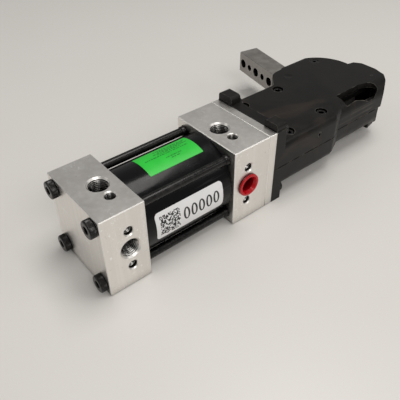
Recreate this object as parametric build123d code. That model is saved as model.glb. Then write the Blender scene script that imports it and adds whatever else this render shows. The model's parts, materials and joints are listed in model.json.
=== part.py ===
from build123d import *
import math
import os

# Pneumatic gripper: a square-ended air cylinder that swings one clamp arm out of a two-part body.
# Frame: origin at the centre of the rear cap's rear face, on the cylinder axis.
# +X runs along the cylinder towards the gripper's nose, +Z is up, the arm sticks out towards +Y.
# Everything is in millimetres.

# ---- driving dimensions ----
BLOCK = 63.5            # side of the square cap, head and flange
BLOCK_CHAMFER = 0.5
PLATE_CHAMFER = 0.4
CAP_END = 32.0          # front face of the rear cap
HEAD_START = 105.0      # rear face of the front head
HEAD_END = 138.0
PLATE_END = 145.0       # front face of the adapter plate
FLANGE_END = 154.5      # front face of the body's square flange
NOSE_END = 301.5

BORE_R = 25.4           # cylinder bore, 2 inch
TUBE_R = 30.0
BOLT_AT = 23.8          # tie bolt offset from the axis, in Y and in Z
BOLT_HEAD_R = 6.2
BOLT_HEAD = 4.8         # height of the tie bolts' low heads
BOLT_KEY = 5.0          # across flats of their sockets
BOLT_SHANK_R = 4.0
BOLT_WAIST_R = 3.0
BOLT_END = 119.5
PORT_R = 6.7            # 1/4 inch pipe thread
PORT_DEPTH = 13.0
PORT_FROM_FACE = 13.2   # port axis to the tube side of its block
PLUG_BORE_R = 5.6       # hollow inside of the dust plug
PLUG_FLANGE_R = 8.8
SIDE_HOLE_AT = 14.75    # small tapped holes beside each side port, in Z
SIDE_HOLE_R = 3.2
NEEDLE_AT = -14.1       # cushion needle beside each top port, in Y

ROD_R = 10.0
CHAMBER_R = 13.0        # air space around the rod inside cap and head

BODY_TOP = 20.6         # half thickness of the body
SPLIT = -1.0            # height of the joint between the body halves
WALL_IN = 16.0          # half height of the yoke channel
SLOT_Z = 10.5           # half height of the arm slot

PIVOT = (257.0, 21.5)   # arm pivot axis in X and Y
LOBE_R = 34.0
LOBE_FLAT = 53.0        # the lobe is cut flat here
CRANK_R = 24.0          # pivot axis to crank pin axis
CRANK_DEG = 49.0        # crank angle ahead of -Y with the arm square to the cylinder
LEAN_DEG = 11.0         # the arm's lean towards +X at rest
ARM_HALF = 10.0         # the arm bar is 20 x 20
ARM_REAR = 25.3         # pivot axis to the bar's rear face
ARM_TIP = 94.2          # pivot axis to the bar's end
HUB_HALF = 9.7
HUB_R = 22.0
SHAFT_R = 9.0

ROLLER_R = 6.0
SLOT_MID = 271.5        # middle of the yoke's cross slot at rest
SLOT_PLAY = 0.7         # each side of the roller: it takes up the crank's sine
YOKE_LOW = -12.5
YOKE_HIGH = 9.2
YOKE_HALF = 15.2
FORK_IN = 10.6

FIT = 0.05              # radial clearance of sliding and screwed fits

BODY_SCREWS = [(166.9, 25.9), (166.9, -23.0), (207.1, 26.9), (207.3, -20.0)]
BODY_SCREW_R = 2.5
BODY_SCREW_HEAD_R = 4.25
BODY_SCREW_SEAT = 14.6   # height of the seat under the head
DOWELS = [(188.0, 26.5), (188.0, -23.0)]
NOSE_SCREW = (286.0, -17.6)
LOBE_PLUG = (271.3, 42.5)
PLUG_R = 4.0
NOSE_PIN = (287.4, -8.7)
SET_SCREW = (194.0, 10.0)    # side set screw, in X and Z
SET_SCREW_R = 2.0
PIN_R = 1.2
DISH_R = 16.0           # shallow cast dish beside the lobe


# ---- small helpers ----
def block(x0, x1, y0, y1, z0, z1):
    """A box between two corners."""
    middle = ((x0 + x1) / 2, (y0 + y1) / 2, (z0 + z1) / 2)
    return Pos(*middle) * Box(x1 - x0, y1 - y0, z1 - z0)


def rod_x(x0, x1, r, y=0.0, z=0.0):
    """A round bar along X."""
    return Pos((x0 + x1) / 2, y, z) * Rot(0, 90, 0) * Cylinder(r, x1 - x0)


def rod_y(y0, y1, r, x=0.0, z=0.0):
    """A round bar along Y."""
    return Pos(x, (y0 + y1) / 2, z) * Rot(90, 0, 0) * Cylinder(r, y1 - y0)


def rod_z(z0, z1, r, x=0.0, y=0.0):
    """A round bar along Z."""
    return Pos(x, y, (z0 + z1) / 2) * Cylinder(r, z1 - z0)


def ring_x(x0, x1, outer, inner, y=0.0, z=0.0):
    """A round ring along X."""
    return rod_x(x0, x1, outer, y, z) - rod_x(x0 - 1, x1 + 1, inner, y, z)


def ring_z(z0, z1, outer, inner, x=0.0, y=0.0):
    """A round ring along Z."""
    return rod_z(z0, z1, outer, x, y) - rod_z(z0 - 1, z1 + 1, inner, x, y)


def cone_z(z0, z1, r0, r1, x=0.0, y=0.0):
    """A cone along Z, r0 at z0 and r1 at z1."""
    return Pos(x, y, (z0 + z1) / 2) * Cone(r0, r1, z1 - z0)


def hexagon_x(x0, x1, flats, y=0.0, z=0.0):
    """A hexagonal bar along X."""
    prism = extrude(RegularPolygon(flats / 2, 6, major_radius=False), (x1 - x0) / 2, both=True)
    return Pos((x0 + x1) / 2, y, z) * Rot(0, 90, 0) * prism


def hexagon_z(z0, z1, flats, x=0.0, y=0.0):
    """A hexagonal bar along Z."""
    prism = extrude(RegularPolygon(flats / 2, 6, major_radius=False), (z1 - z0) / 2, both=True)
    return Pos(x, y, (z0 + z1) / 2) * prism


def rounded_prism(corners, z0, z1):
    """A prism between two heights; each corner is (x, y, radius)."""
    points = [(x, y) for x, y, _ in corners]
    radii = [r for _, _, r in corners]
    outline = FilletPolyline(*points, radius=radii, close=True)
    return Pos(0, 0, z0) * extrude(make_face(outline), z1 - z0)


def four_corners(offset_y, offset_z):
    """The four sign combinations of a pair of offsets."""
    return [(sy * offset_y, sz * offset_z) for sy in (-1, 1) for sz in (-1, 1)]


def group(pieces):
    """Separate solids that share one node."""
    solids = []
    for piece in pieces:
        solids.extend(piece.solids())
    return Compound(solids)


# ---- cylinder: cap, tube, head, plate ----
def port_cut(x, side):
    """A pipe port with a chamfered mouth, from the top face or from the -Y face, to the chamber."""
    face = BLOCK / 2
    thread = rod_z(face - PORT_DEPTH, face + 1, PORT_R, x)
    mouth = cone_z(face - 1.2, face + 0.3, PORT_R, PORT_R + 1.5, x)
    passage = rod_z(CHAMBER_R - 2, face, 3.75, x)
    cut = thread + mouth + passage
    if side:
        cut = Rot(90, 0, 0) * cut
    return cut


def air_block(x0, x1, port_x):
    """The square block shared by cap and head: ports, needle hole and side holes."""
    solid = block(x0, x1, -BLOCK / 2, BLOCK / 2, -BLOCK / 2, BLOCK / 2)
    solid = chamfer(solid.edges(), BLOCK_CHAMFER)
    solid -= port_cut(port_x, False)
    solid -= port_cut(port_x, True)
    solid -= rod_z(14.0, 33.0, 3.6, port_x, NEEDLE_AT)
    solid -= cone_z(31.0, 32.0, 3.6, 4.6, port_x, NEEDLE_AT)
    solid -= rod_z(8.0, 15.0, 1.2, port_x, NEEDLE_AT + 3.0)
    for z in (-SIDE_HOLE_AT, SIDE_HOLE_AT):
        solid -= rod_y(-32.0, -20.0, SIDE_HOLE_R, port_x, z)
        solid -= Pos(0, 0, z) * Rot(90, 0, 0) * cone_z(31.0, 32.0, SIDE_HOLE_R, SIDE_HOLE_R + 1.0, port_x)
    return solid


CAP_PORT = CAP_END - PORT_FROM_FACE
HEAD_PORT = HEAD_START + PORT_FROM_FACE
SPIGOT = 4.0
SPIGOT_R = BORE_R - FIT


def rear_cap():
    solid = air_block(0.0, CAP_END, CAP_PORT)
    solid += rod_x(CAP_END, CAP_END + SPIGOT, SPIGOT_R)
    solid -= rod_x(13.0, CAP_END + SPIGOT + 1, CHAMBER_R)
    solid -= ring_x(CAP_END + 0.9, CAP_END + 3.1, SPIGOT_R + 1, SPIGOT_R - 1.7)
    for y, z in four_corners(BOLT_AT, BOLT_AT):
        solid -= rod_x(-1, CAP_END + 1, 4.2, y, z)
    return solid


def front_head():
    solid = air_block(HEAD_START, HEAD_END, HEAD_PORT)
    solid += rod_x(HEAD_START - SPIGOT, HEAD_START, SPIGOT_R)
    solid -= rod_x(HEAD_START - SPIGOT - 1, 123.5, CHAMBER_R)
    solid -= rod_x(123.0, HEAD_END + 1, ROD_R + 0.5)
    solid -= rod_x(125.5, HEAD_END + 1, 14.0)
    solid -= ring_x(HEAD_START - 3.1, HEAD_START - 0.9, SPIGOT_R + 1, SPIGOT_R - 1.7)
    for y, z in four_corners(BOLT_AT, BOLT_AT):
        solid -= rod_x(HEAD_START - 1, 120.5, 4.0 + FIT, y, z)
    for y, z in four_corners(FLANGE_SCREW_Y, FLANGE_SCREW_Z):
        solid -= rod_x(124.5, HEAD_END + 1, 3.0 + FIT, y, z)
    return solid


def cylinder_tube():
    return ring_x(CAP_END, HEAD_START, TUBE_R, BORE_R)


def adapter_plate():
    solid = block(HEAD_END, PLATE_END, -BLOCK / 2, BLOCK / 2, -BLOCK / 2, BLOCK / 2)
    solid = chamfer(solid.edges(), PLATE_CHAMFER)
    solid -= rod_x(HEAD_END - 1, PLATE_END + 1, ROD_R + 0.5)
    solid -= rod_x(HEAD_END + 1.5, PLATE_END + 1, 14.0)
    for y, z in four_corners(FLANGE_SCREW_Y, FLANGE_SCREW_Z):
        solid -= rod_x(HEAD_END - 1, PLATE_END + 1, 3.3, y, z)
    return solid


def tie_bolts():
    """Four waisted socket head bolts: full size in cap and head, thin along the tube."""
    bolts = []
    for y, z in four_corners(BOLT_AT, BOLT_AT):
        head = rod_x(-BOLT_HEAD, 0.0, BOLT_HEAD_R, y, z)
        head = chamfer(head.edges().filter_by(GeomType.CIRCLE).group_by(Axis.X)[0], 0.6)
        bolt = head + rod_x(0.0, CAP_END - 2, BOLT_SHANK_R, y, z)
        bolt += rod_x(CAP_END - 2, HEAD_START - 3, BOLT_WAIST_R, y, z)
        bolt += rod_x(HEAD_START - 3.5, HEAD_START, 3.6, y, z)
        bolt += rod_x(HEAD_START, BOLT_END, BOLT_SHANK_R, y, z)
        bolt -= hexagon_x(-BOLT_HEAD - 1, -BOLT_HEAD / 2, BOLT_KEY, y, z)
        bolts.append(bolt)
    return group(bolts)


FLANGE_SCREW_Y = 24.0
FLANGE_SCREW_Z = 26.3


def flange_screws():
    """Four screws from the flange's front, through the plate, into the head."""
    screws = []
    for y, z in four_corners(FLANGE_SCREW_Y, FLANGE_SCREW_Z):
        screw = rod_x(126.0, FLANGE_END, 3.0, y, z) + rod_x(FLANGE_END, FLANGE_END + 6, 5.0, y, z)
        screw -= hexagon_x(FLANGE_END + 3, FLANGE_END + 7, 5.0, y, z)
        screws.append(screw)
    return group(screws)


def cushion_needles():
    """Slotted adjusting screws beside the top ports."""
    needles = []
    for x in (CAP_PORT, HEAD_PORT):
        needle = rod_z(17.0, 27.0, 3.55, x, NEEDLE_AT) + cone_z(14.2, 17.0, 1.2, 3.55, x, NEEDLE_AT)
        needle -= block(x - 4, x + 4, NEEDLE_AT - 0.5, NEEDLE_AT + 0.5, 25.5, 28.0)
        needles.append(needle)
    return group(needles)


def seal_ring(x0, x1, outer, inner):
    """A ring with rounded edges."""
    ring = ring_x(x0, x1, outer, inner)
    return fillet(ring.edges(), min(x1 - x0, outer - inner) * 0.3)


def port_plug():
    """Push-in dust plug for the head's side port: a flange with a hollow cup behind it."""
    face = -BLOCK / 2
    plug = rod_y(face - 2.0, face, PLUG_FLANGE_R, HEAD_PORT)
    plug = fillet(plug.edges(), 0.6)
    plug += rod_y(face, face + 9.0, PORT_R - FIT, HEAD_PORT)
    plug -= rod_y(face - 3.0, face + 7.8, PLUG_BORE_R, HEAD_PORT)
    mouth = Rot(90, 0, 0) * cone_z(-face - 0.2, -face + 2.1, PLUG_BORE_R, PLUG_BORE_R + 1.4, HEAD_PORT)
    return plug - mouth


def tube_label(x0, x1, angle0, angle1, corner):
    """A thin label wrapped on the tube; angles are from -Y towards +Z."""
    inner = TUBE_R + 0.02
    skin = ring_x(x0, x1, inner + 0.18, inner)
    mid = (angle0 + angle1) / 2
    half = inner * math.sin(math.radians(angle1 - angle0) / 2)
    flat = Rectangle(x1 - x0, 2 * half)
    flat = fillet(flat.vertices(), corner)
    tool = Pos((x0 + x1) / 2, 0, 0) * Rot(90 - mid, 0, 0) * extrude(flat, 40.0)
    return skin & tool


# ---- piston and rod ----
PISTON = (71.5, 94.4)


def piston():
    x0, x1 = PISTON
    solid = rod_x(x0, x1, BORE_R - 0.25)
    solid = chamfer(solid.edges().filter_by(GeomType.CIRCLE), 0.8)
    solid -= rod_x(x0 - 1, x0 + 9.0, 12.0)
    solid -= rod_x(x0, x1 + 1, 6.0 + FIT)
    for g0, g1, depth in PISTON_GROOVES:
        solid -= ring_x(g0, g1, BORE_R + 1, BORE_R - depth)
    return solid


PISTON_GROOVES = [(74.0, 78.0, 4.0), (80.5, 85.5, 2.0), (88.0, 92.0, 4.0)]


def piston_seals():
    seals = []
    for g0, g1, depth in (PISTON_GROOVES[0], PISTON_GROOVES[2]):
        seals.append(ring_x(g0 + 0.2, g1 - 0.2, BORE_R - 0.06, BORE_R - depth + 0.02))
    return group(seals)


def piston_wear_ring():
    g0, g1, depth = PISTON_GROOVES[1]
    return ring_x(g0 + 0.1, g1 - 0.1, BORE_R - 0.05, BORE_R - depth + 0.02)


def piston_rod():
    solid = rod_x(PISTON[1], 202.0, ROD_R)
    solid = chamfer(solid.edges().filter_by(GeomType.CIRCLE), 0.8)
    solid += rod_x(72.5, PISTON[1] + 1, 6.0)
    solid += rod_x(201.0, 226.0, 7.0)
    return solid


def piston_nut():
    return hexagon_x(72.3, 80.4, 18.0) - rod_x(70, 84, 6.0 + FIT)


def rod_jam_nut():
    return hexagon_x(202.8, 210.9, 21.0) - rod_x(200, 213, 7.0 + FIT)


def yoke():
    """Fork on the rod's end: two plates with a cross slot each, joined by a screwed bridge."""
    low, high = YOKE_LOW, YOKE_HIGH
    solid = block(211.0, 230.0, low, 12.5, -YOKE_HALF, YOKE_HALF)
    solid += block(229.0, SLOT_MID + 13.5, low, high, -YOKE_HALF, YOKE_HALF)
    solid -= block(230.0, 300.0, low - 1, high + 5, -FORK_IN, FORK_IN)
    slot = ROLLER_R + SLOT_PLAY
    solid -= block(SLOT_MID - slot, SLOT_MID + slot, -9.4, high + 1, -20, 20)
    solid -= rod_x(210.0, 228.0, 7.0 + FIT)
    ends = solid.edges().filter_by(Axis.Z).group_by(Axis.X)[0]
    return chamfer(ends, 1.5)


# ---- arm, crank and pivot ----
def to_rest(piece):
    """Move an arm piece from its own frame (pivot at 0, bar along +Y) to its place at rest."""
    return Pos(PIVOT[0], PIVOT[1], 0) * Rot(0, 0, -LEAN_DEG) * piece


CRANK_X = CRANK_R * math.sin(math.radians(CRANK_DEG))
CRANK_Y = -CRANK_R * math.cos(math.radians(CRANK_DEG))
ARM_HOLES = [(ARM_TIP - 6.3 - 11.2 * i, 4.25 if i % 2 == 0 else 3.0) for i in range(5)]


def clamp_arm():
    """Hub with a crank lever on one side and the 20 mm square bar on the other."""
    front = -ARM_REAR + 2 * ARM_HALF
    bar = block(-ARM_REAR, front, -6.0, ARM_TIP, -ARM_HALF, ARM_HALF)
    bar = chamfer(bar.edges().filter_by(Axis.Z).group_by(Axis.Y)[0].sort_by(Axis.X)[0], 4.0)
    bar = chamfer(bar.edges().filter_by(Axis.Y), 0.8)
    for y, r in ARM_HOLES:
        bar -= rod_x(-ARM_REAR - 1, front + 1, r, y)
    hub = rod_z(-HUB_HALF, HUB_HALF, HUB_R)
    lever = rod_z(-HUB_HALF, HUB_HALF, 8.0, CRANK_X, CRANK_Y)
    web = block(-8.0, 8.0, -CRANK_R, 0, -HUB_HALF, HUB_HALF)
    arm = bar + hub + lever + Rot(0, 0, CRANK_DEG) * web
    arm -= rod_z(-20, 20, 11.0)
    arm -= rod_z(-20, 20, 4.0, CRANK_X, CRANK_Y)
    return to_rest(arm)


def arm_bush():
    return to_rest(ring_z(-HUB_HALF, HUB_HALF, 10.99, SHAFT_R + FIT))


def pivot_shaft():
    shaft = rod_z(-17.4, 17.4, SHAFT_R, *PIVOT)
    return chamfer(shaft.edges().filter_by(GeomType.CIRCLE), 0.8)


def thrust_washers():
    return group([ring_z(z, z + 1.4, 11.4, SHAFT_R + FIT, *PIVOT) for z in (-11.4, 10.0)])


def crank_pin():
    pin = rod_z(-15.0, 15.0, 3.98, CRANK_X, CRANK_Y)
    for z in (-14.5, 13.9):
        pin -= ring_z(z, z + 0.6, 6.0, 3.3, CRANK_X, CRANK_Y)
    return to_rest(pin)


def crank_roller(side):
    z0, z1 = (10.2, 13.7) if side > 0 else (-13.7, -10.2)
    ring = ring_z(z0, z1, ROLLER_R, 4.0 + 0.03, CRANK_X, CRANK_Y)
    rims = ring.edges().filter_by(GeomType.CIRCLE).group_by(SortBy.RADIUS)[-1]
    return to_rest(chamfer(rims, 0.4))


def pin_clips():
    clips = []
    for z in (-14.45, 13.95):
        clip = ring_z(z, z + 0.5, 5.6, 3.35, CRANK_X, CRANK_Y)
        clip -= block(CRANK_X - 1.6, CRANK_X + 1.6, CRANK_Y - 8, CRANK_Y, z - 1, z + 2)
        clips.append(to_rest(clip))
    return group(clips)


# ---- body halves ----
WIDE_LOW = -BLOCK / 2
WIDE_HIGH = 35.0
NOSE_LOW = -26.5
WIDE_ROUND = 7.0         # rounding of the wide part's long -Y edges
NOSE_ROUND = 12.0
LOWER_SET_BACK = 3.0    # the lower half's tip ends behind the upper half's
RIM_ROUND = 1.2
EAR_ROUND = 2.6
SEAM_GROOVE = 0.4       # groove round the joint of the halves, in each half


def wide_prism(z0, z1):
    """The wide part behind the lobe, with a stepped corner where it meets the nose."""
    corners = [(FLANGE_END, WIDE_LOW, 0), (214.0, WIDE_LOW, 7.0), (225.0, NOSE_LOW, 6.0),
               (232.0, NOSE_LOW + 4, 0), (232.0, WIDE_HIGH, 0), (FLANGE_END, WIDE_HIGH, 0)]
    return rounded_prism(corners, z0, z1)


def nose_prism(z0, z1, set_back):
    """The nose: a slab whose end narrows in facets towards -Y, set back from the nose's full length."""
    tip = NOSE_END - set_back
    corners = [(212.0, NOSE_LOW, 0), (tip - 18.5, NOSE_LOW, 0), (tip - 9.9, -20.6, 7.0), (tip - 3.1, -12.8, 0),
               (tip, -3.0, 8.0), (tip, 12.0, 5.0), (tip - 4.5, 18.6, 3.0), (284.0, 20.9, 0), (212.0, 20.9, 0)]
    return rounded_prism(corners, z0, z1)


def nose_foot():
    """Square block under the tip of the lower half, where the long edge's rounding stops."""
    corners = [(272.5, -24.7, 1.0), (289.0, -21.2, 5.0), (294.5, -13.0, 3.0), (296.0, -5.0, 2.0),
               (272.5, -5.0, 2.0)]
    foot = rounded_prism(corners, -BODY_TOP, -6.0)
    return fillet(foot.edges().group_by(Axis.Z)[0], 1.2)


def lobe_prism(z0, z1):
    """The round lobe about the pivot, flat towards +Y, with the stop shoulder beside it."""
    lobe = rod_z(z0, z1, LOBE_R, *PIVOT) & block(200, 300, -30, LOBE_FLAT, z0, z1)
    corners = [(204.0, 10.0, 0), (204.0, WIDE_HIGH, 0), (210.5, WIDE_HIGH, 5.0), (224.5, 50.5, 11.0),
               (236.5, 51.6, 3.0), (239.0, LOBE_FLAT, 1.5), (257.0, LOBE_FLAT, 0), (257.0, 10.0, 0)]
    return lobe + rounded_prism(corners, z0, z1)


def edge_round(solid, r, top):
    """Round the long straight -Y edge of a prism at its top or bottom face."""
    face_edges = solid.edges().group_by(Axis.Z)[-1 if top else 0]
    return fillet(face_edges.sort_by(Axis.Y)[0], r)


def half_blank(top):
    """Outer shape of one body half, before it is hollowed."""
    z0, z1 = (SPLIT, BODY_TOP) if top else (-BODY_TOP, SPLIT)
    nose = edge_round(nose_prism(z0, z1, 0.0 if top else LOWER_SET_BACK), NOSE_ROUND, top)
    wide = edge_round(wide_prism(z0, z1), WIDE_ROUND, top)
    solid = wide + nose + lobe_prism(z0, z1)
    rims = solid.edges().filter_by(Plane.XY).group_by(Axis.Z)[-1 if top else 0]
    arm_side = [e for e in rims if e.center().Y > 17.0 and e.center().X > FLANGE_END + 1]
    solid = fillet(arm_side, RIM_ROUND)
    face = BLOCK / 2
    low, high = (SPLIT, face) if top else (-face, SPLIT)
    solid += block(PLATE_END, FLANGE_END, -face, face, low, high)
    joint_face = solid.faces().filter_by(Axis.Z).group_by(Axis.Z)[0 if top else -1][0]
    inner = offset(joint_face, -SEAM_GROOVE, kind=Kind.INTERSECTION)
    depth = SEAM_GROOVE if top else -SEAM_GROOVE
    return solid - extrude(joint_face - inner, depth, dir=(0, 0, 1))


def ears():
    """Two locating ears on the flange's top corners; the +Y one is a little taller."""
    pieces = []
    for y0, y1, height in ((-31.2, -18.0, 37.2), (17.0, 31.2, 38.4)):
        ear = block(PLATE_END, FLANGE_END - 0.2, y0, y1, 30.0, height)
        crown = ear.edges().filter_by(Axis.X).group_by(Axis.Z)[-1]
        ear = fillet(crown, EAR_ROUND)
        pieces.append(ear)
    return pieces


def arm_sweep(z0, z1):
    """Slot that the arm swings in, from square to the cylinder to past the nose."""
    wide = rod_z(z0, z1, 29.0, *PIVOT)
    corners = [(231.3, 15.0, 0), (231.3, 80.0, 0), (330.0, 80.0, 0), (330.0, 15.9, 0), (257.0, 26.1, 0)]
    return wide + rounded_prism(corners, z0, z1)


def hollow():
    """Everything that is cut out of both halves together."""
    cut = block(166.0, 217.0, -13.8, 13.8, -WALL_IN, WALL_IN)
    cut += rounded_prism([(213.0, -21.5, 5.0), (292.0, -21.5, 6.0), (292.0, 10.2, 4.0),
                          (238.0, 10.2, 0), (238.0, 13.8, 0), (213.0, 13.8, 0)], -WALL_IN, WALL_IN)
    cut += arm_sweep(-SLOT_Z, SLOT_Z)
    cut += ring_z(-WALL_IN, WALL_IN, 28.5, 13.5, *PIVOT)
    cut += ring_z(-WALL_IN, WALL_IN, 30.7, 17.4, *PIVOT) & block(220, 295, -12, 13.5, -20, 20)
    cut += rod_z(-11.5, 11.5, 11.5, *PIVOT)
    cut += rod_z(-17.6, 17.6, SHAFT_R + 0.01, *PIVOT)
    cut += rod_x(PLATE_END - 1, 167.0, ROD_R + 1.5)
    for z0, z1 in ((-17.6, -WALL_IN + 0.5), (WALL_IN - 0.5, 17.6)):
        cut += block(GUIDE[0] - 0.1, GUIDE[1] + 0.1, GUIDE[2] - 0.1, GUIDE[3] + 0.1, z0, z1)
    cut += block(STOP[0], 232.0, STOP[2], STOP[3], -7.1, 7.1)
    for y, z in four_corners(FLANGE_SCREW_Y, FLANGE_SCREW_Z):
        cut += rod_x(PLATE_END - 1, FLANGE_END + 1, 3.3, y, z)
    for x, y in DOWELS:
        cut += rod_z(-12.2, 10.2, 2.5 + 0.01, x, y)
    return cut


GUIDE = (192.0, 289.5, -11.0, 7.5)
STOP = (227.2, 231.2, 36.0, 47.0)


def nose_column():
    """Solid post for the nose screw, left standing in the channel's corner."""
    return rod_z(-BODY_TOP, BODY_TOP, 4.8, *NOSE_SCREW)


def window():
    """Inspection window through the upper half, open onto the rounded edge."""
    corners = [(234.5, -12.2, 1.5), (264.0, -11.7, 6.0), (277.0, -15.5, 6.0), (277.5, -23.5, 3.0),
               (270.0, -26.05, 5.0), (262.0, -26.05, 5.0), (247.0, -23.3, 0), (234.5, -24.1, 2.0)]
    return rounded_prism(corners, 10.0, 25.0)


def upper_body_half():
    solid = half_blank(True)
    for ear in ears():
        solid += ear
    column = nose_column() & block(200, 330, -40, 40, SPLIT, BODY_TOP) & solid
    solid -= hollow()
    solid += column
    solid -= window()
    for x, y in BODY_SCREWS:
        solid -= rod_z(-5, BODY_TOP + 1, BODY_SCREW_R + 0.3, x, y)
        solid -= rod_z(BODY_SCREW_SEAT, BODY_TOP + 1, BODY_SCREW_HEAD_R + 0.4, x, y)
    solid -= Pos(231.6, 37.7, BODY_TOP + DISH_R - 0.5) * Sphere(DISH_R)
    solid -= rod_z(17.0, 22, PLUG_R + 0.01, *LOBE_PLUG)
    solid -= rod_z(18.0, 22, PIN_R + 0.01, *NOSE_PIN)
    solid -= rod_y(-40.0, -20.0, SET_SCREW_R + FIT, *SET_SCREW)
    solid -= rod_z(-5, 12.0, 3.0 + FIT, *NOSE_SCREW)
    return solid


def lower_body_half():
    solid = half_blank(False)
    solid += nose_foot()
    column = nose_column() & block(200, 330, -40, 40, -BODY_TOP, SPLIT) & solid
    solid -= hollow()
    solid += column
    for x, y in BODY_SCREWS:
        solid -= rod_z(-16.5, 0, BODY_SCREW_R + FIT, x, y)
    solid -= rod_z(-25, 0, 3.3, *NOSE_SCREW)
    solid -= rod_z(-25, -13.6, 5.4, *NOSE_SCREW)
    return solid


def cap_screw_z(x, y, under_head, end, sizes):
    """A socket head screw along Z; its head lies beyond under_head, away from its end."""
    r, head_r, head, key = sizes
    step = 1 if under_head > end else -1
    z0, z1 = sorted((end, under_head))
    h0, h1 = sorted((under_head, under_head + head * step))
    k0, k1 = sorted((under_head + head * step / 2, under_head + (head + 1) * step))
    return rod_z(z0, z1, r, x, y) + rod_z(h0, h1, head_r, x, y) - hexagon_z(k0, k1, key, x, y)


def body_screws():
    sizes = (BODY_SCREW_R, BODY_SCREW_HEAD_R, 5.0, 4.0)
    return group([cap_screw_z(x, y, BODY_SCREW_SEAT, -15.5, sizes) for x, y in BODY_SCREWS])


def nose_screw():
    return cap_screw_z(*NOSE_SCREW, -13.6, 11.0, (3.0, 5.0, 6.0, 5.0))


def dowel_pins():
    return group([rod_z(-12.0, 10.0, 2.5, x, y) for x, y in DOWELS])


def guide_strips():
    """Bronze strips above and below the yoke."""
    x0, x1, y0, y1 = GUIDE
    strips = [block(x0, x1, y0, y1, *heights) for heights in ((-17.5, -15.5), (15.5, 17.5))]
    return group(strips)


def stop_pad():
    """Pad in the shoulder that the arm's rear face comes up against."""
    x0, x1, y0, y1 = STOP
    pad = block(x0 + 0.05, x1, y0 + 0.05, y1 - 0.05, -7.0, 7.0)
    return chamfer(pad.edges().filter_by(Axis.Z).group_by(Axis.X)[-1], 0.8)


def lobe_plug():
    return rod_z(17.1, 20.3, PLUG_R, *LOBE_PLUG) - hexagon_z(18.6, 21.0, 3.0, *LOBE_PLUG)


def nose_pin():
    return rod_z(18.1, BODY_TOP, PIN_R, *NOSE_PIN)


def side_set_screw():
    x, z = SET_SCREW
    screw = rod_y(WIDE_LOW + 0.15, -20.2, SET_SCREW_R, x, z)
    return screw - Pos(x, WIDE_LOW + 1.0, z) * Rot(90, 0, 0) * hexagon_z(-1.5, 1.5, 2.0)


NODES = {
    "rear_cap": rear_cap,
    "cylinder_tube": cylinder_tube,
    "front_head": front_head,
    "adapter_plate": adapter_plate,
    "upper_body_half": upper_body_half,
    "lower_body_half": lower_body_half,
    "tie_bolts": tie_bolts,
    "flange_screws": flange_screws,
    "body_screws": body_screws,
    "nose_screw": nose_screw,
    "dowel_pins": dowel_pins,
    "cushion_needles": cushion_needles,
    "rear_tube_seal": lambda: seal_ring(CAP_END + 1.0, CAP_END + 3.0, BORE_R - 0.02, SPIGOT_R - 1.68),
    "front_tube_seal": lambda: seal_ring(HEAD_START - 3.0, HEAD_START - 1.0, BORE_R - 0.02, SPIGOT_R - 1.68),
    "rear_bumper": lambda: seal_ring(CAP_END + SPIGOT, 38.0, 22.0, 14.0),
    "front_bumper": lambda: seal_ring(99.0, HEAD_START - SPIGOT, 22.0, 14.0),
    "rod_seal": lambda: ring_x(125.7, 131.3, 13.98, ROD_R + FIT),
    "rod_bush": lambda: ring_x(131.5, 138.0, 13.98, ROD_R + FIT),
    "rod_wiper": lambda: ring_x(139.6, 144.9, 13.98, ROD_R + FIT),
    "piston": piston,
    "piston_seals": piston_seals,
    "piston_wear_ring": piston_wear_ring,
    "piston_rod": piston_rod,
    "piston_nut": piston_nut,
    "rod_jam_nut": rod_jam_nut,
    "yoke": yoke,
    "clamp_arm": clamp_arm,
    "arm_bush": arm_bush,
    "pivot_shaft": pivot_shaft,
    "thrust_washers": thrust_washers,
    "crank_pin": crank_pin,
    "crank_roller_upper": lambda: crank_roller(1),
    "crank_roller_lower": lambda: crank_roller(-1),
    "pin_clips": pin_clips,
    "guide_strips": guide_strips,
    "stop_pad": stop_pad,
    "lobe_plug": lobe_plug,
    "nose_pin": nose_pin,
    "side_set_screw": side_set_screw,
    "port_plug": port_plug,
    "green_label": lambda: tube_label(50.7, 94.5, 68.6, 112.0, 0.5),
    "white_label": lambda: tube_label(39.8, 96.2, -16.5, 24.8, 3.0),
}

os.makedirs("parts", exist_ok=True)
for name, make in NODES.items():
    export_step(make(), os.path.join("parts", name + ".step"))
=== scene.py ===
import json
import math
import random

import bmesh
import bpy
from mathutils import Matrix, Vector


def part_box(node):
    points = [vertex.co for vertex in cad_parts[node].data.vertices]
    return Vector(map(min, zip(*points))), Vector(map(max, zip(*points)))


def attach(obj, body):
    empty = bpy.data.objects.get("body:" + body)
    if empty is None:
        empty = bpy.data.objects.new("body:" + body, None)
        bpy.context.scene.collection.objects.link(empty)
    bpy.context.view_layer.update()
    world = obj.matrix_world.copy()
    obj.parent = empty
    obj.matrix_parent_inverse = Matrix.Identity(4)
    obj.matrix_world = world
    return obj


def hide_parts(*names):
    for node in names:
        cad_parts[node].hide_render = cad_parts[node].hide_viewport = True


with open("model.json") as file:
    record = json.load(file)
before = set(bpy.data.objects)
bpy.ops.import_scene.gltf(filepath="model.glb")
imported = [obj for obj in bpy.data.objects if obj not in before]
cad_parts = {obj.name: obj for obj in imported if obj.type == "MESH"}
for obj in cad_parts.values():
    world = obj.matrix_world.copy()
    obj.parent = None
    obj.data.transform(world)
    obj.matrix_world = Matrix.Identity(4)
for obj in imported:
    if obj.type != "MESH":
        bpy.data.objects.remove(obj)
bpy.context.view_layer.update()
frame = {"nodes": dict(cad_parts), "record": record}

MM = 0.001
FLOOR_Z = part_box("rear_cap")[0][2]


# ---------------------------------------------------------------- camera
CAMERA_AT = Vector((-86.0, -230.7, 226.3)) * MM
CAMERA_RIGHT = Vector((0.77299, -0.63432, -0.01117))
CAMERA_BACK = Vector((-0.47776, -0.59360, 0.64760))
CAMERA_LENS = 45.6
SENSOR_WIDTH = 36.0


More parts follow.
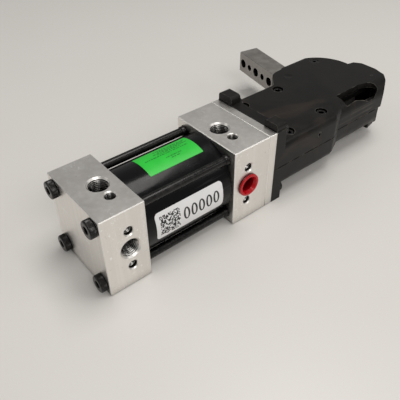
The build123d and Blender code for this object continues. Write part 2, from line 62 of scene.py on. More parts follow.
def make_camera():
    """The pinhole camera fitted to the photo."""
    back = CAMERA_BACK.normalized()
    up = back.cross(CAMERA_RIGHT).normalized()
    right = up.cross(back)
    data = bpy.data.cameras.new("camera")
    data.lens = CAMERA_LENS
    data.sensor_width = SENSOR_WIDTH
    data.clip_start = 0.01
    camera = bpy.data.objects.new("camera", data)
    bpy.context.scene.collection.objects.link(camera)
    turn = Matrix((right, up, back)).transposed().to_4x4()
    camera.matrix_world = Matrix.Translation(CAMERA_AT) @ turn
    bpy.context.scene.camera = camera


make_camera()
bpy.context.scene.view_settings.view_transform = "Standard"


# ---------------------------------------------------------------- shader helper
SCRATCH_STRETCH = 0.03      # a scratch's width against its length
OPENNESS_SAMPLES = 8
BEVEL_SAMPLES = 6
EDGE_FROM, EDGE_FULL = 0.995, 0.86      # cosines between the flat and the bevelled normal


class Shader:
    """A Principled material whose node graph is built by short calls."""

    def __init__(self, name):
        self.material = bpy.data.materials.new(name)
        self.material.use_nodes = True
        self.tree = self.material.node_tree
        self.bsdf = self.tree.nodes["Principled BSDF"]
        coords = self.tree.nodes.new("ShaderNodeTexCoord")
        self.object_coords = coords.outputs["Object"]

    def set(self, **sockets):
        """Constant values on the shader's own sockets; underscores stand for spaces."""
        for key, value in sockets.items():
            self.bsdf.inputs[key.replace("_", " ")].default_value = value
        return self

    def feed(self, socket, value):
        self.tree.links.new(value, self.bsdf.inputs[socket])

    def stretched(self, scale):
        """Object coordinates multiplied by a scale per axis."""
        node = self.tree.nodes.new("ShaderNodeMapping")
        node.inputs["Scale"].default_value = scale
        self.tree.links.new(self.object_coords, node.inputs["Vector"])
        return node.outputs["Vector"]

    def noise(self, scale, detail=4.0, roughness=0.55, vector=None, distortion=0.0):
        node = self.tree.nodes.new("ShaderNodeTexNoise")
        node.inputs["Scale"].default_value = scale
        node.inputs["Detail"].default_value = detail
        node.inputs["Roughness"].default_value = roughness
        node.inputs["Distortion"].default_value = distortion
        self.tree.links.new(vector or self.object_coords, node.inputs["Vector"])
        return node.outputs["Fac"]

    def remap(self, value, low, high, to_low=0.0, to_high=1.0):
        node = self.tree.nodes.new("ShaderNodeMapRange")
        node.inputs["From Min"].default_value = low
        node.inputs["From Max"].default_value = high
        node.inputs["To Min"].default_value = to_low
        node.inputs["To Max"].default_value = to_high
        self.tree.links.new(value, node.inputs["Value"])
        return node.outputs["Result"]

    def math(self, operation, a, b):
        node = self.tree.nodes.new("ShaderNodeMath")
        node.operation = operation
        for index, value in enumerate((a, b)):
            if isinstance(value, (int, float)):
                node.inputs[index].default_value = value
            else:
                self.tree.links.new(value, node.inputs[index])
        return node.outputs[0]

    def mix(self, factor, a, b):
        """Colour mix; the factor is an output, a and b are colours or outputs."""
        node = self.tree.nodes.new("ShaderNodeMix")
        node.data_type = "RGBA"
        self.tree.links.new(factor, node.inputs[0])
        for index, value in ((6, a), (7, b)):
            if isinstance(value, tuple):
                node.inputs[index].default_value = (*value, 1.0)
            else:
                self.tree.links.new(value, node.inputs[index])
        return node.outputs[2]

    def cover(self, tone, mask, strength, color):
        """A colour laid over a tone where a mask is 1."""
        return self.mix(self.math("MULTIPLY", mask, strength), tone, color)

    def shaded(self, tone, reach_mm, low, high, deep):
        """Painted shade: a tone that turns to a deep shade colour inside holes and gaps, where
        shade falls.
        """
        return self.mix(self.remap(self.openness(reach_mm), low, high), deep, tone)

    def scratches(self, scale, along, low, high):
        """Thin lines: 1 where a noise stretched along an axis (0, 1 or 2) is above a level."""
        sizes = [scale] * 3
        sizes[along] = scale * SCRATCH_STRETCH
        lines = self.noise(1.0, 2.0, 0.5, self.stretched(tuple(sizes)), 0.4)
        return self.remap(lines, low, high)

    def openness(self, reach_mm):
        """1 in the open, 0 deep inside a hole or gap; it drives the painted shade."""
        node = self.tree.nodes.new("ShaderNodeAmbientOcclusion")
        node.samples = OPENNESS_SAMPLES
        node.inputs["Distance"].default_value = reach_mm * MM
        return node.outputs["AO"]

    def bump(self, height, depth_mm, strength):
        """Relief laid over any relief fed before it."""
        node = self.tree.nodes.new("ShaderNodeBump")
        node.inputs["Strength"].default_value = strength
        node.inputs["Distance"].default_value = depth_mm * MM
        self.tree.links.new(height, node.inputs["Height"])
        previous = self.bsdf.inputs["Normal"].links
        if previous:
            self.tree.links.new(previous[0].from_socket, node.inputs["Normal"])
        self.feed("Normal", node.outputs["Normal"])

    def edges(self, radius_mm):
        """1 on convex and concave edges within the radius, 0 on flats."""
        bevel = self.tree.nodes.new("ShaderNodeBevel")
        bevel.samples = BEVEL_SAMPLES
        bevel.inputs["Radius"].default_value = radius_mm * MM
        geometry = self.tree.nodes.new("ShaderNodeNewGeometry")
        dot = self.tree.nodes.new("ShaderNodeVectorMath")
        dot.operation = "DOT_PRODUCT"
        self.tree.links.new(bevel.outputs["Normal"], dot.inputs[0])
        self.tree.links.new(geometry.outputs["Normal"], dot.inputs[1])
        return self.remap(dot.outputs["Value"], EDGE_FROM, EDGE_FULL)


def paint(material, *nodes):
    """Give CAD nodes a material."""
    for name in nodes:
        mesh = frame["nodes"][name].data
        mesh.materials.clear()
        mesh.materials.append(material)
        for polygon in mesh.polygons:
            polygon.material_index = 0


# ---------------------------------------------------------------- materials
BRIGHT_METAL = (1.0, 0.99, 0.97)
# painted shade colours for deep inside holes and gaps
PAINTED_SHADE_METAL = (0.012, 0.012, 0.011)
PAINTED_SHADE_BLACK = (0.0008, 0.0008, 0.0008)
HOLLOW_SHADE = 0.16         # how much of a moulding's colour is left in the painted shade deep inside it


def machined_aluminium():
    """Milled aluminium: tool lines, streaks, stains, nicks and chips, bright worn edges, and
    painted shade inside holes and gaps.
    """
    s = Shader("machined_aluminium").set(Metallic=1.0)
    lines = s.noise(1.0, 3.0, 0.6, s.stretched((1500.0, 1500.0, 22.0)))
    streaks = s.noise(1.0, 3.0, 0.6, s.stretched((260.0, 260.0, 5.0)))
    cloud = s.noise(38.0, 4.0, 0.6)
    fleck = s.remap(s.noise(420.0, 2.0, 0.5), 0.68, 0.78)
    ticked = s.remap(s.noise(60.0, 2.0), 0.54, 0.62)
    nick = s.math("MULTIPLY", s.scratches(340.0, 1, 0.63, 0.67), ticked)
    tone = s.mix(s.remap(cloud, 0.3, 0.75), (0.80, 0.775, 0.74), (0.85, 0.825, 0.79))
    tone = s.cover(tone, s.remap(streaks, 0.46, 0.66), 0.35, (0.95, 0.935, 0.91))
    tone = s.cover(tone, fleck, 0.3, (0.40, 0.39, 0.37))
    chips = s.remap(s.noise(1.0, 2.0, 0.5, s.stretched((620.0, 300.0, 420.0)), 1.4), 0.64, 0.67)
    chipped = s.remap(s.noise(42.0, 2.0), 0.52, 0.58)
    nick = s.math("MAXIMUM", nick, s.math("MULTIPLY", chips, chipped))
    tone = s.cover(tone, nick, 0.9, BRIGHT_METAL)
    tone = s.mix(s.edges(0.8), tone, BRIGHT_METAL)
    # painted shade: darker deep inside holes and gaps
    tone = s.shaded(tone, 16.0, 0.3, 0.62, PAINTED_SHADE_METAL)
    s.feed("Base Color", tone)
    gloss = s.math("ADD", cloud, s.math("MULTIPLY", streaks, 0.5))
    s.feed("Roughness", s.remap(gloss, 0.5, 1.1, 0.34, 0.44))
    s.bump(lines, 0.012, 0.6)
    s.bump(nick, 0.03, 0.8)
    s.bump(s.noise(900.0, 2.0), 0.006, 0.5)
    return s.material


def tube_black():
    """Gloss black coated tube with smudges and fine scratches."""
    s = Shader("tube_black").set(Specular_IOR_Level=0.16, Coat_Weight=0.12, Coat_Roughness=0.08)
    smudge = s.noise(60.0, 5.0, 0.65)
    scratch = s.scratches(520.0, 0, 0.68, 0.72)
    s.feed("Base Color", s.cover((0.0025, 0.0025, 0.003), scratch, 0.25, (0.05, 0.05, 0.052)))
    s.feed("Roughness", s.remap(smudge, 0.3, 0.75, 0.14, 0.32))
    s.bump(s.noise(220.0, 3.0), 0.01, 0.35)
    return s.material


def black_casting():
    """Black coated body: fine grain, brownish oily patches, long scuffs, rubbed edges, and painted
    shade in recesses.
    """
    s = Shader("black_casting").set(Specular_IOR_Level=0.2)
    grain = s.noise(1400.0, 3.0, 0.6)
    patch = s.noise(34.0, 5.0, 0.65, distortion=0.6)
    stain = s.remap(s.noise(18.0, 3.0, 0.6, distortion=1.2), 0.56, 0.70)
    rub = s.math("MULTIPLY", s.edges(0.8), s.remap(s.noise(90.0, 5.0, 0.7), 0.44, 0.60))
    scuffed = s.remap(s.noise(26.0, 2.0), 0.5, 0.6)
    scuff = s.math("MULTIPLY", s.scratches(210.0, 0, 0.66, 0.72), scuffed)
    tone = s.mix(s.remap(patch, 0.3, 0.7), (0.0055, 0.0052, 0.0051), (0.013, 0.0120, 0.0112))
    tone = s.cover(tone, stain, 0.6, (0.036, 0.025, 0.018))
    tone = s.cover(tone, scuff, 0.4, (0.10, 0.09, 0.08))
    tone = s.cover(tone, rub, 0.6, (0.22, 0.20, 0.17))
    # painted shade: darker inside recesses and gaps
    tone = s.shaded(tone, 24.0, 0.25, 0.6, PAINTED_SHADE_BLACK)
    s.feed("Base Color", tone)
    s.feed("Roughness", s.remap(patch, 0.3, 0.72, 0.30, 0.52))
    s.bump(grain, 0.03, 0.6)
    s.bump(s.noise(160.0, 3.0), 0.05, 0.25)
    return s.material


def black_oxide():
    """Oil-blackened screw steel, with painted shade inside sockets and recesses."""
    s = Shader("black_oxide").set(Metallic=0.12, Specular_IOR_Level=0.3)
    patch = s.noise(260.0, 4.0, 0.6)
    tone = s.mix(s.remap(patch, 0.3, 0.7), (0.005, 0.005, 0.0055), (0.018, 0.017, 0.016))
    tone = s.cover(tone, s.edges(0.3), 0.35, (0.16, 0.15, 0.145))
    # painted shade: darker inside sockets and recesses
    tone = s.shaded(tone, 8.0, 0.3, 0.75, PAINTED_SHADE_BLACK)
    s.feed("Base Color", tone)
    s.feed("Roughness", s.remap(patch, 0.3, 0.7, 0.18, 0.32))
    s.bump(s.noise(1800.0, 2.0), 0.01, 0.5)
    return s.material


def steel(name, dark, light, rough, depth=0.01):
    """Bare steel with a fine grain."""
    s = Shader(name).set(Metallic=1.0)
    grain = s.noise(1.0, 3.0, 0.6, s.stretched((900.0, 900.0, 900.0)))
    cloud = s.noise(70.0, 4.0, 0.6)
    tone = s.mix(s.remap(cloud, 0.3, 0.7), dark, light)
    worn = tuple(min(1.0, c * 1.6) for c in light)
    tone = s.cover(tone, s.edges(0.4), 0.5, worn)
    s.feed("Base Color", tone)
    gloss = s.math("ADD", cloud, grain)
    s.feed("Roughness", s.remap(gloss, 0.6, 1.4, rough - 0.06, rough + 0.08))
    s.bump(grain, depth, 0.6)
    return s.material


def blasted_steel():
    """The arm: grey blasted steel with dark pits, and painted shade in holes and gaps."""
    s = Shader("arm_steel").set(Metallic=1.0)
    pits = s.remap(s.noise(700.0, 3.0, 0.65), 0.55, 0.70)
    cloud = s.noise(90.0, 4.0, 0.6)
    tone = s.mix(s.remap(cloud, 0.3, 0.7), (0.30, 0.285, 0.27), (0.42, 0.402, 0.38))
    tone = s.cover(tone, pits, 0.45, (0.12, 0.11, 0.10))
    tone = s.cover(tone, s.edges(0.5), 0.6, (0.75, 0.73, 0.7))
    # painted shade: darker in holes and gaps
    tone = s.shaded(tone, 14.0, 0.35, 0.7, (0.010, 0.010, 0.009))
    s.feed("Base Color", tone)
    s.feed("Roughness", s.remap(cloud, 0.3, 0.7, 0.44, 0.56))
    s.bump(s.noise(1100.0, 3.0), 0.03, 0.7)
    return s.material


def thread_aluminium(name, dark, light, reach_mm, low, high):
    """Cut threads: bright at the mouth, turned dark further in by painted shade."""
    s = Shader(name).set(Metallic=1.0)
    tone = s.mix(s.remap(s.noise(500.0, 3.0), 0.3, 0.7), dark, light)
    # painted shade: darker further into the hole
    tone = s.shaded(tone, reach_mm, low, high, PAINTED_SHADE_METAL)
    s.feed("Base Color", tone)
    s.feed("Roughness", s.remap(s.noise(300.0, 2.0), 0.3, 0.7, 0.2, 0.34))
    return s.material


def moulded(name, color, rough, variation=0.15, hollow_mm=0.0, **sockets):
    """Moulded plastic, rubber or urethane, with painted shade inside hollows of about a given
    depth.
    """
    s = Shader(name).set(**sockets)
    cloud = s.noise(120.0, 4.0, 0.6)
    darker = tuple(c * (1.0 - variation) for c in color)
    tone = s.mix(s.remap(cloud, 0.3, 0.7), darker, color)
    # painted shade: darker inside hollows
    if hollow_mm:
        deep = tuple(c * HOLLOW_SHADE for c in color)
        tone = s.shaded(tone, hollow_mm, 0.45, 0.85, deep)
    s.feed("Base Color", tone)
    s.feed("Roughness", s.remap(cloud, 0.3, 0.7, rough - 0.05, rough + 0.07))
    s.bump(s.noise(1500.0, 2.0), 0.008, 0.5)
    return s.material


ALUMINIUM = machined_aluminium()
BLACK_OXIDE = black_oxide()
# one cut aluminium thread in three tones: a darker painted shade copy for the top ports and needle
# holes, brighter painted light copies for the side port and the small side holes
SHADED_PORT_THREAD = thread_aluminium("port_thread", (0.16, 0.155, 0.15), (0.40, 0.39, 0.375),
                               14.0, 0.30, 0.66)
LIT_OPEN_THREAD = thread_aluminium("open_thread", (0.40, 0.39, 0.375), (0.78, 0.77, 0.75),
                               14.0, 0.30, 0.60)
LIT_SMALL_THREAD = thread_aluminium("small_thread", (0.45, 0.44, 0.42), (0.80, 0.79, 0.77),
                                6.0, 0.18, 0.50)
ZINC = steel("zinc_steel", (0.42, 0.42, 0.43), (0.62, 0.62, 0.63), 0.3)
DOWEL = steel("dowel_steel", (0.5, 0.5, 0.5), (0.66, 0.66, 0.66), 0.2)
RUBBER = moulded("seal_rubber", (0.02, 0.02, 0.02), 0.55)
INK = moulded("label_ink", (0.008, 0.008, 0.009), 0.5)
GREEN_INK = moulded("green_label_ink", (0.006, 0.15, 0.018), 0.45)

paint(ALUMINIUM, "rear_cap", "front_head", "adapter_plate", "piston")
paint(tube_black(), "cylinder_tube")
paint(black_casting(), "upper_body_half", "lower_body_half")
paint(BLACK_OXIDE, "tie_bolts", "flange_screws", "body_screws", "nose_screw", "side_set_screw",
      "lobe_plug", "nose_pin")
paint(ZINC, "cushion_needles", "piston_nut", "rod_jam_nut", "pin_clips")
paint(DOWEL, "dowel_pins", "pivot_shaft", "crank_pin", "crank_roller_upper", "crank_roller_lower")
paint(RUBBER, "rear_tube_seal", "front_tube_seal", "rod_seal", "rod_wiper", "piston_seals")
paint(moulded("bumper_urethane", (0.40, 0.16, 0.05), 0.45),
      "rear_bumper", "front_bumper", "stop_pad")
paint(steel("bronze", (0.40, 0.25, 0.10), (0.55, 0.37, 0.17), 0.34),
      "rod_bush", "arm_bush", "thrust_washers", "guide_strips")
paint(moulded("wear_ring_plastic", (0.42, 0.28, 0.14), 0.5), "piston_wear_ring")
paint(steel("rod_chrome", (0.66, 0.66, 0.67), (0.76, 0.76, 0.77), 0.12, 0.004), "piston_rod")
paint(steel("yoke_steel", (0.05, 0.048, 0.045), (0.12, 0.115, 0.11), 0.36), "yoke")
paint(blasted_steel(), "clamp_arm")
# the red plug gets painted shade inside its cup, reaching 10 mm
paint(moulded("red_plastic", (0.58, 0.003, 0.010), 0.2, 0.25, 10.0,
              Specular_IOR_Level=0.25, Coat_Weight=0.1), "port_plug")
paint(moulded("green_label", (0.018, 0.62, 0.045), 0.4, 0.12), "green_label")
paint(moulded("white_label", (0.86, 0.86, 0.87), 0.38, 0.04), "white_label")


# ---------------------------------------------------------------- mesh helpers
def new_object(name, verts, faces, material, smooth_angle=35.0):
    """A mesh object in metres, riding on the housing, with sharp edges kept sharp."""
    mesh = bpy.data.meshes.new(name)
    mesh.from_pydata([tuple(v) for v in verts], [], faces)
    work = bmesh.new()
    work.from_mesh(mesh)
    bmesh.ops.recalc_face_normals(work, faces=work.faces)
    for face in work.faces:
        face.smooth = True
    for edge in work.edges:
        edge.smooth = edge.calc_face_angle(0.0) < math.radians(smooth_angle)
    work.to_mesh(mesh)
    work.free()
    mesh.materials.append(material)
    piece = bpy.data.objects.new(name, mesh)
    bpy.context.scene.collection.objects.link(piece)
    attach(piece, "housing")
    return piece


def axis_frame(at, direction):
    """A matrix whose local +Z points along a direction."""
    turn = Vector(direction).to_track_quat("Z", "Y").to_matrix().to_4x4()
    return Matrix.Translation(Vector(at)) @ turn


class Rings:
    """Vertices and faces of round shapes made of rings along an axis."""

    def __init__(self, segments):
        self.segments = segments
        self.verts = []
        self.faces = []

    def add(self, rings, place, closed=False):
        """Each ring is (height mm, radius mm); a radius may be a function of the vertex index.

        The ends get caps, or the last ring joins the first when the shape is closed.
        """
        start = len(self.verts)
        count = self.segments
        for height, radius in rings:
            for index in range(count):
                angle = 2.0 * math.pi * index / count
                r = radius(index) if callable(radius) else radius
                point = Vector((r * math.cos(angle), r * math.sin(angle), height)) * MM
                self.verts.append(place @ point)
        total = len(rings)
        last = total if closed else total - 1
        for ring in range(last):
            low = start + ring * count
            high = start + ((ring + 1) % total) * count
            for index in range(count):
                after = (index + 1) % count
                self.faces.append((low + index, low + after, high + after, high + index))
        if not closed:
            for ring, height in ((0, rings[0][0]), (total - 1, rings[-1][0])):
                centre = len(self.verts)
                self.verts.append(place @ Vector((0.0, 0.0, height * MM)))
                low = start + ring * count
                for index in range(count):
                    self.faces.append((low + index, low + (index + 1) % count, centre))


def islands(node):
    """Lowest and highest corners of each separate solid in a CAD node."""
    work = bmesh.new()
    work.from_mesh(frame["nodes"][node].data)
    bmesh.ops.remove_doubles(work, verts=work.verts, dist=1e-6)
    left = set(work.verts)
    boxes = []
    while left:
        stack = [left.pop()]
        found = []
        while stack:
            vert = stack.pop()
            found.append(vert.co.copy())
            for edge in vert.link_edges:
                other = edge.other_vert(vert)
                if other in left:
                    left.remove(other)
                    stack.append(other)
        low = Vector([min(v[i] for v in found) for i in range(3)])
        high = Vector([max(v[i] for v in found) for i in range(3)])
        boxes.append((low, high))
    work.free()
    return sorted(boxes, key=lambda box: tuple(box[0]))


# ---------------------------------------------------------------- screws
KNURL_SEGMENTS = 120
KNURL_DEPTH = 0.22          # mm
HEXAGON_STEP = 60.0         # degrees from one flat to the next
# tie bolt: head radius, head height, key size and the radii of the shank, all in mm
TIE_HEAD_R, TIE_HEAD, TIE_KEY = 6.2, 4.8, 5.0
TIE_SHANK_R, TIE_WAIST_R, TIE_THREAD_R = 4.0, 3.0, 3.6


def hexagon(across_flats):
    """Radius of a hexagon at each vertex of a ring."""
    def radius(index):
        turned = 360.0 * index / KNURL_SEGMENTS + HEXAGON_STEP / 2
        angle = turned % HEXAGON_STEP - HEXAGON_STEP / 2
        return across_flats / 2 / math.cos(math.radians(angle))
    return radius


def knurled(r, depth=KNURL_DEPTH):
    """Radius of a fluted ring: every second vertex lies deeper."""
    return lambda index: r - (depth if index % 2 else 0.0)


def socket_screw(shape, place, head_r, head, key, shank):
    """Socket head screw with a knurled head; local Z points out of the head, 0 is under it."""
    mouth = key / 2 / math.cos(math.radians(HEXAGON_STEP / 2)) + 0.15
    fluted = knurled(head_r)
    run_out = knurled(head_r, 0.05)
    rings = [(head / 2, hexagon(key)), (head - 0.35, hexagon(key)), (head, mouth),
             (head, head_r - 0.9), (head - 0.12, head_r - 0.45), (head - 0.45, head_r - 0.12),
             (head - 0.8, run_out), (head - 1.1, fluted), (0.9, fluted), (0.6, run_out),
             (0.15, head_r - 0.2), (0.0, head_r - 0.4)]
    shape.add(rings + shank, place)


def tie_bolts():
    """Knurled heads, shanks in the blocks, waists along the tube and a thread at its front."""
    shape = Rings(KNURL_SEGMENTS)
    cap_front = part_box("cylinder_tube")[0][0] / MM
    head_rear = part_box("cylinder_tube")[1][0] / MM
    for low, high in islands("tie_bolts"):
        centre = (low + high) / 2
        place = axis_frame((0.0, centre.y, centre.z), (-1, 0, 0))
        end = high.x / MM
        shank = [(0.0, TIE_SHANK_R + 0.2), (-0.3, TIE_SHANK_R),
                 (2.3 - cap_front, TIE_SHANK_R), (2.0 - cap_front, TIE_WAIST_R),
                 (3.5 - head_rear, TIE_WAIST_R), (3.4 - head_rear, TIE_THREAD_R - 0.15),
                 (3.1 - head_rear, TIE_THREAD_R), (0.1 - head_rear, TIE_THREAD_R),
                 (-head_rear, TIE_SHANK_R), (0.5 - end, TIE_SHANK_R), (-end, TIE_SHANK_R - 0.4)]
        socket_screw(shape, place, TIE_HEAD_R, TIE_HEAD, TIE_KEY, shank)
    piece = new_object("tie_bolts_knurled", shape.verts, shape.faces, BLACK_OXIDE)
    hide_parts("tie_bolts")


def screw_group(node, direction, head_r, head, key, shank_r):
    """Knurled socket screws in place of plain ones; direction points out of the heads."""
    shape = Rings(KNURL_SEGMENTS)
    axis = next(i for i in range(3) if direction[i])
    for low, high in islands(node):
        at = (low + high) / 2
        outer = high[axis] if direction[axis] > 0 else low[axis]
        at[axis] = outer - direction[axis] * head * MM
        length = (high[axis] - low[axis]) / MM - head
        shank = [(0.0, shank_r + 0.2), (-0.3, shank_r),
                 (0.5 - length, shank_r), (-length, shank_r - 0.4)]
        socket_screw(shape, axis_frame(at, direction), head_r, head, key, shank)
    piece = new_object(node + "_knurled", shape.verts, shape.faces, BLACK_OXIDE)
    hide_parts(node)


tie_bolts()
screw_group("flange_screws", (1, 0, 0), head_r=5.0, head=6.0, key=5.0, shank_r=3.0)
screw_group("body_screws", (0, 0, 1), head_r=4.25, head=5.0, key=4.0, shank_r=2.5)
screw_group("nose_screw", (0, 0, -1), head_r=5.0, head=6.0, key=5.0, shank_r=3.0)


# ---------------------------------------------------------------- tapped holes
THREAD_SEGMENTS = 48
THREAD_STEPS = 6            # rings per turn of a thread
THREAD_SMOOTH = 60.0        # degrees up to which the ridges are shaded smooth
RIDGE_SLOPE = 1.15          # above 1 leaves a flat between two ridges
RIDGE_FADE = 1.5            # a ridge rises from the mouth over one pitch divided by this
ROOT_CLEAR, SLEEVE_CLEAR = 0.08, 0.02       # mm inside the CAD hole
# the rest of the sizes are in mm
PIPE_THREAD = {"pitch": 1.41, "height": 0.75}
SIDE_THREAD = {"pitch": 1.0, "height": 0.5}
NEEDLE_THREAD = {"pitch": 0.75, "height": 0.4}
PIPE_MOUTH, PIPE_SHORTER = 0.1, 1.5          # under the face, and shorter than the hole
SIDE_MOUTH, SIDE_THREAD_DEPTH = 1.1, 9.5
NEEDLE_MOUTH, NEEDLE_HOLE_R, NEEDLE_GAP = 1.0, 3.6, 0.1
MOUNTS = {mount["name"]: mount for mount in frame["record"]["mounts"]}


def tapped_sleeve(shape, mouth, direction, r, depth, pitch, height):
    """A thin sleeve from the mouth into a hole; its inner face is a helical thread."""
    place = axis_frame(mouth, direction)
    crest = r - height
    root = r - ROOT_CLEAR
    steps = int(depth / pitch * THREAD_STEPS)
    inner = []
    for step in range(steps + 1):
        down = depth * step / steps

        def radius(index, down=down):
            turn = (down / pitch + index / THREAD_SEGMENTS) % 1.0
            ridge = max(0.0, 1.0 - abs(turn * 2.0 - 1.0) * RIDGE_SLOPE)
            fade = min(1.0, down / pitch * RIDGE_FADE)
            return root + (crest - root) * ridge * fade
        inner.append((-down, radius))
    outer = [(-depth, r - SLEEVE_CLEAR), (0.0, r - SLEEVE_CLEAR)]
    shape.add(inner + outer, place, closed=True)


def pipe_threads(piece_name, ports, material):
    """Threads in the open pipe ports named by their mounts."""
    shape = Rings(THREAD_SEGMENTS)
    for name in ports:
        mount = MOUNTS[name]
        out = Vector(mount["axis"])
        length = mount["dims"]["length_mm"]
        mouth = Vector(mount["pos_m"]) + out * (length / 2 - PIPE_MOUTH) * MM
        depth = length - PIPE_SHORTER
        tapped_sleeve(shape, mouth, out, mount["dims"]["r_mm"], depth, **PIPE_THREAD)
    piece = new_object(piece_name, shape.verts, shape.faces, material, THREAD_SMOOTH)


def side_threads():
    """Threads in the pairs of small holes beside the side ports."""
    shape = Rings(THREAD_SEGMENTS)
    for name in ("cap_side_holes", "head_side_holes"):
        mount = MOUNTS[name]
        out = Vector(mount["axis"])
        for side in (-1, 1):
            along = Vector((0.0, 0.0, side * mount["dims"]["spacing_y_mm"] / 2 * MM))
            mouth = Vector(mount["pos_m"]) + along - out * SIDE_MOUTH * MM
            hole_r = mount["dims"]["hole_r_mm"]
            tapped_sleeve(shape, mouth, out, hole_r, SIDE_THREAD_DEPTH, **SIDE_THREAD)
    piece = new_object("side_hole_threads", shape.verts, shape.faces, LIT_SMALL_THREAD, THREAD_SMOOTH)


def needle_threads():
    """Threads in the two cushion needle holes, above the needles."""
    shape = Rings(THREAD_SEGMENTS)
    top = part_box("rear_cap")[1][2]
    for low, high in islands("cushion_needles"):
        centre = (low + high) / 2
        mouth = Vector((centre.x, centre.y, top - NEEDLE_MOUTH * MM))
        depth = (mouth.z - high.z) / MM - NEEDLE_GAP
        tapped_sleeve(shape, mouth, (0, 0, 1), NEEDLE_HOLE_R, depth, **NEEDLE_THREAD)
    piece = new_object("needle_hole_threads", shape.verts, shape.faces, SHADED_PORT_THREAD, THREAD_SMOOTH)


pipe_threads("top_port_threads", ("cap_top_port", "head_top_port"), SHADED_PORT_THREAD)
pipe_threads("side_port_threads", ("cap_side_port",), LIT_OPEN_THREAD)
side_threads()
needle_threads()


# ---------------------------------------------------------------- generic label print
INK_LIFT = 0.24             # mm from the tube's surface to the outside of the ink
INK_THICK = 0.05            # mm
PATCH_STEP = 2.0            # degrees between a patch's cross sections

# positions and sizes along the tube are in mm, around it in degrees
DOT_CELLS, DOT_PITCH = 21, 0.76
DOT_SHARE = 0.56            # of the cells that hold a dot
DOT_FILL = 0.96             # a dot's size against its cell
DOT_MARGIN, DOT_ANGLE = 3.2, -11.5
OVALS, OVAL_PITCH, OVAL_GAP, OVAL_ANGLE = 5, 6.4, 5.4, 4.5
OVAL_HALF_WIDTH, OVAL_HALF_DEGREES, OVAL_STROKE = 2.65, 9.3, 1.45
OVAL_STEPS = 40
OVAL_FLATTEN = 0.7          # stroke at the oval's long ends against that at its sides

DASH_HEIGHT = 1.4           # degrees
# angle on the tube, start and end as shares of the label's length
DASH_LINES = ((104.5, 0.34, 0.93), (101.5, 0.40, 0.88), (98.5, 0.30, 0.95), (95.5, 0.36, 0.80),
              (92.0, 0.10, 0.90), (84.0, 0.42, 0.72), (80.5, 0.50, 0.66))


class TubePrint:
    """Thin raised patches of ink wrapped on the tube: x along it, angle from -Y towards +Z."""

    def __init__(self, label):
        low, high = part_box(label)
        self.x0, self.x1 = low[0] / MM, high[0] / MM
        self.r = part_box("cylinder_tube")[1][1] / MM + INK_LIFT
        self.inner_r = self.r - INK_THICK
        self.verts = []
        self.faces = []

    def at(self, x, degrees, r):
        angle = math.radians(degrees)
        return Vector((x, -r * math.cos(angle), r * math.sin(angle))) * MM

    def patch(self, x0, x1, a0, a1):
        """One closed patch between two positions x and two angles."""
        start = len(self.verts)
        steps = max(1, int(abs(a1 - a0) / PATCH_STEP))
        for step in range(steps + 1):
            a = a0 + (a1 - a0) * step / steps
            for x, r in ((x0, self.r), (x1, self.r), (x1, self.inner_r), (x0, self.inner_r)):
                self.verts.append(self.at(x, a, r))
        for step in range(steps):
            low = start + 4 * step
            for side in range(4):
                after = (side + 1) % 4
                self.faces.append((low + side, low + after, low + 4 + after, low + 4 + side))
        self.faces.append((start, start + 3, start + 2, start + 1))
        end = start + 4 * steps
        self.faces.append((end, end + 1, end + 2, end + 3))

    def oval(self, x, degrees, half_width, half_degrees, stroke):
        """An oval ring; the sizes are to the outside and the stroke is its thickness in mm."""
        start = len(self.verts)
        stroke_degrees = math.degrees(stroke * OVAL_FLATTEN / self.r)
        for step in range(OVAL_STEPS):
            turn = 2.0 * math.pi * step / OVAL_STEPS
            for thin in (0.0, 1.0):
                px = x + (half_width - thin * stroke) * math.cos(turn)
                pa = degrees + (half_degrees - thin * stroke_degrees) * math.sin(turn)
                self.verts += [self.at(px, pa, self.r), self.at(px, pa, self.inner_r)]
        for step in range(OVAL_STEPS):
            a = start + 4 * step
            b = start + 4 * ((step + 1) % OVAL_STEPS)
            self.faces += [(a, b, b + 2, a + 2), (a + 1, a + 3, b + 3, b + 1),
                           (a, a + 1, b + 1, b), (a + 2, b + 2, b + 3, a + 3)]


def white_label_print():
    """A square of random dots and a row of plain ovals."""
    draw = random.Random(5)
    ink = TubePrint("white_label")
    angle_pitch = math.degrees(DOT_PITCH / ink.r)
    x_start = ink.x0 + DOT_MARGIN
    for row in range(DOT_CELLS):
        for column in range(DOT_CELLS):
            if draw.random() < DOT_SHARE:
                x = x_start + column * DOT_PITCH
                a = DOT_ANGLE + row * angle_pitch
                ink.patch(x, x + DOT_PITCH * DOT_FILL, a, a + angle_pitch * DOT_FILL)
    for number in range(OVALS):
        x = x_start + DOT_CELLS * DOT_PITCH + OVAL_GAP + OVAL_PITCH * number
        ink.oval(x, OVAL_ANGLE, OVAL_HALF_WIDTH, OVAL_HALF_DEGREES, OVAL_STROKE)
    piece = new_object("white_label_print", ink.verts, ink.faces, INK)


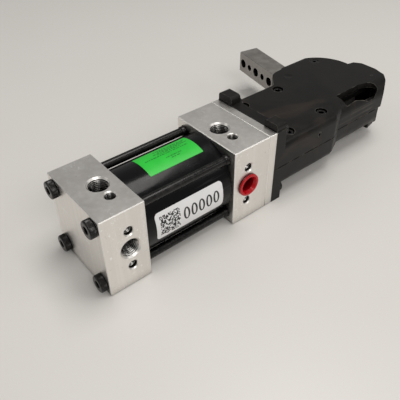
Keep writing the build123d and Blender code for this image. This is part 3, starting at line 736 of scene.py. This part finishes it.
def green_label_print():
    """Faint dashed lines where the small print would be."""
    draw = random.Random(11)
    ink = TubePrint("green_label")
    for a, start, end in DASH_LINES:
        x = ink.x0 + (ink.x1 - ink.x0) * start
        stop = ink.x0 + (ink.x1 - ink.x0) * end
        while x < stop:
            width = draw.uniform(0.6, 2.4)
            ink.patch(x, min(x + width, stop), a, a + DASH_HEIGHT)
            x += width + draw.uniform(0.4, 0.9)
    piece = new_object("green_label_print", ink.verts, ink.faces, GREEN_INK)


white_label_print()
green_label_print()


# ---------------------------------------------------------------- floor and light
FLOOR_HALF = 6.0            # metres
WORLD_STRENGTH = 0.28
WARM_LIGHT = (1.0, 0.98, 0.95)
AIM = (0.14, 0.0, 0.0)


def make_floor():
    """A pale table that touches the underside of the rear cap."""
    mesh = bpy.data.meshes.new("floor")
    corners = [(x * FLOOR_HALF, y * FLOOR_HALF, FLOOR_Z)
               for x, y in ((-1, -1), (1, -1), (1, 1), (-1, 1))]
    mesh.from_pydata(corners, [], [(0, 1, 2, 3)])
    floor = bpy.data.objects.new("floor", mesh)
    bpy.context.scene.collection.objects.link(floor)
    s = Shader("floor")
    cloud = s.noise(3.0, 3.0)
    tone = s.mix(s.remap(cloud, 0.3, 0.7), (0.735, 0.715, 0.685), (0.76, 0.74, 0.715))
    s.feed("Base Color", tone)
    s.set(Roughness=0.34, Specular_IOR_Level=0.4)
    mesh.materials.append(s.material)


def area_light(name, at, size, power, color=WARM_LIGHT):
    """A rectangular light turned towards the middle of the gripper."""
    data = bpy.data.lights.new(name, "AREA")
    data.shape = "RECTANGLE"
    data.size, data.size_y = size
    data.energy = power
    data.color = color
    light = bpy.data.objects.new(name, data)
    light.location = at
    light.rotation_euler = (Vector(AIM) - Vector(at)).to_track_quat("-Z", "Y").to_euler()
    bpy.context.scene.collection.objects.link(light)


def make_world():
    world = bpy.data.worlds.new("studio")
    world.use_nodes = True
    background = world.node_tree.nodes["Background"]
    background.inputs["Color"].default_value = (1.0, 0.99, 0.97, 1.0)
    background.inputs["Strength"].default_value = WORLD_STRENGTH
    bpy.context.scene.world = world


make_floor()
make_world()
area_light("overhead", (0.50, -0.05, 1.5), (0.9, 0.6), 10.8, (1.0, 0.975, 0.94))
area_light("front", (-0.25, -1.2, 1.2), (1.2, 0.6), 8.8)
area_light("left", (-0.8, 0.75, 0.95), (0.5, 0.3), 1.0)
area_light("edge", (0.95, -0.85, 0.75), (0.5, 0.25), 1.2)
